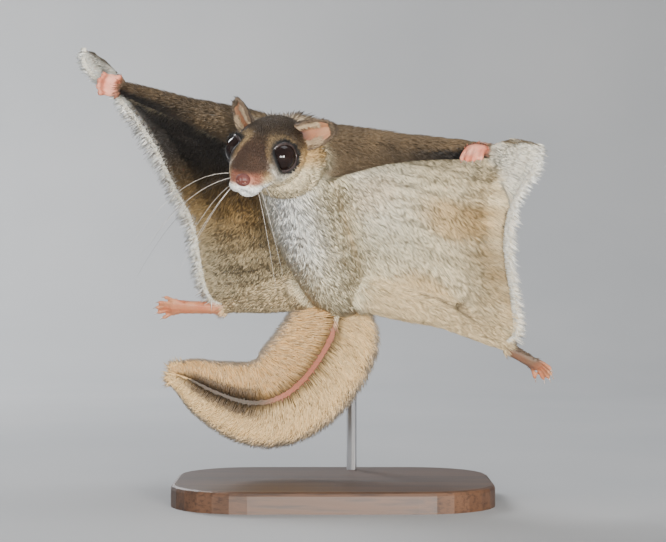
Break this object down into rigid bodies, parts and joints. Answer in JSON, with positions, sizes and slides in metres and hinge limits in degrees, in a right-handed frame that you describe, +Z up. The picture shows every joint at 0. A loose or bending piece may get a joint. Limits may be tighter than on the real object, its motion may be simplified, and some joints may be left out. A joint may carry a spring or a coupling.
{
  "type": "flying squirrel display model",
  "caption": "Life-size model of a southern flying squirrel in mid-glide, limbs and furred membranes spread, flat tail curling, held on a wooden base by a bent steel rod.",
  "frame": {"origin": "centre of the flat underside of the stand's base", "axes": "+Z up out of the base, -Y the way the animal faces, +X towards the animal's left, along the span of its membranes"},
  "size_m": [0.182, 0.1289, 0.1734],
  "materials": {
    "fur_back": "grey-brown coat of the back, arms and head",
    "fur_belly": "cream and white coat of the belly and the underside of the membranes",
    "fur_tail": "cinnamon-buff tail hair",
    "bare_skin": "thin pink skin of ears, hands and feet",
    "eye": "black, glossy",
    "base_wood": "dark stained wood, satin",
    "rod_steel": "brushed"
  },
  "bodies": {
    "root": {"head": "fur_back", "neck": "fur_back", "torso": "fur_belly", "ear_left": "bare_skin", "eye_left": "eye", "upper_arm_left": "fur_back", "forearm_left": "fur_back", "hand_left": "bare_skin", "thigh_left": "fur_belly", "shank_left": "fur_belly", "foot_left": "bare_skin", "patagium_left": "fur_belly", "wing_tip_left": "fur_belly", "ear_right": "bare_skin", "eye_right": "eye", "upper_arm_right": "fur_back", "forearm_right": "fur_back", "hand_right": "bare_skin", "thigh_right": "fur_belly", "shank_right": "fur_belly", "foot_right": "bare_skin", "patagium_right": "fur_belly", "wing_tip_right": "fur_belly", "tail_base": "fur_tail", "tail_middle": "fur_tail", "tail_tip": "fur_tail", "stand_base": "base_wood", "stand_rod": "rod_steel"}
  },
  "joints": []
}
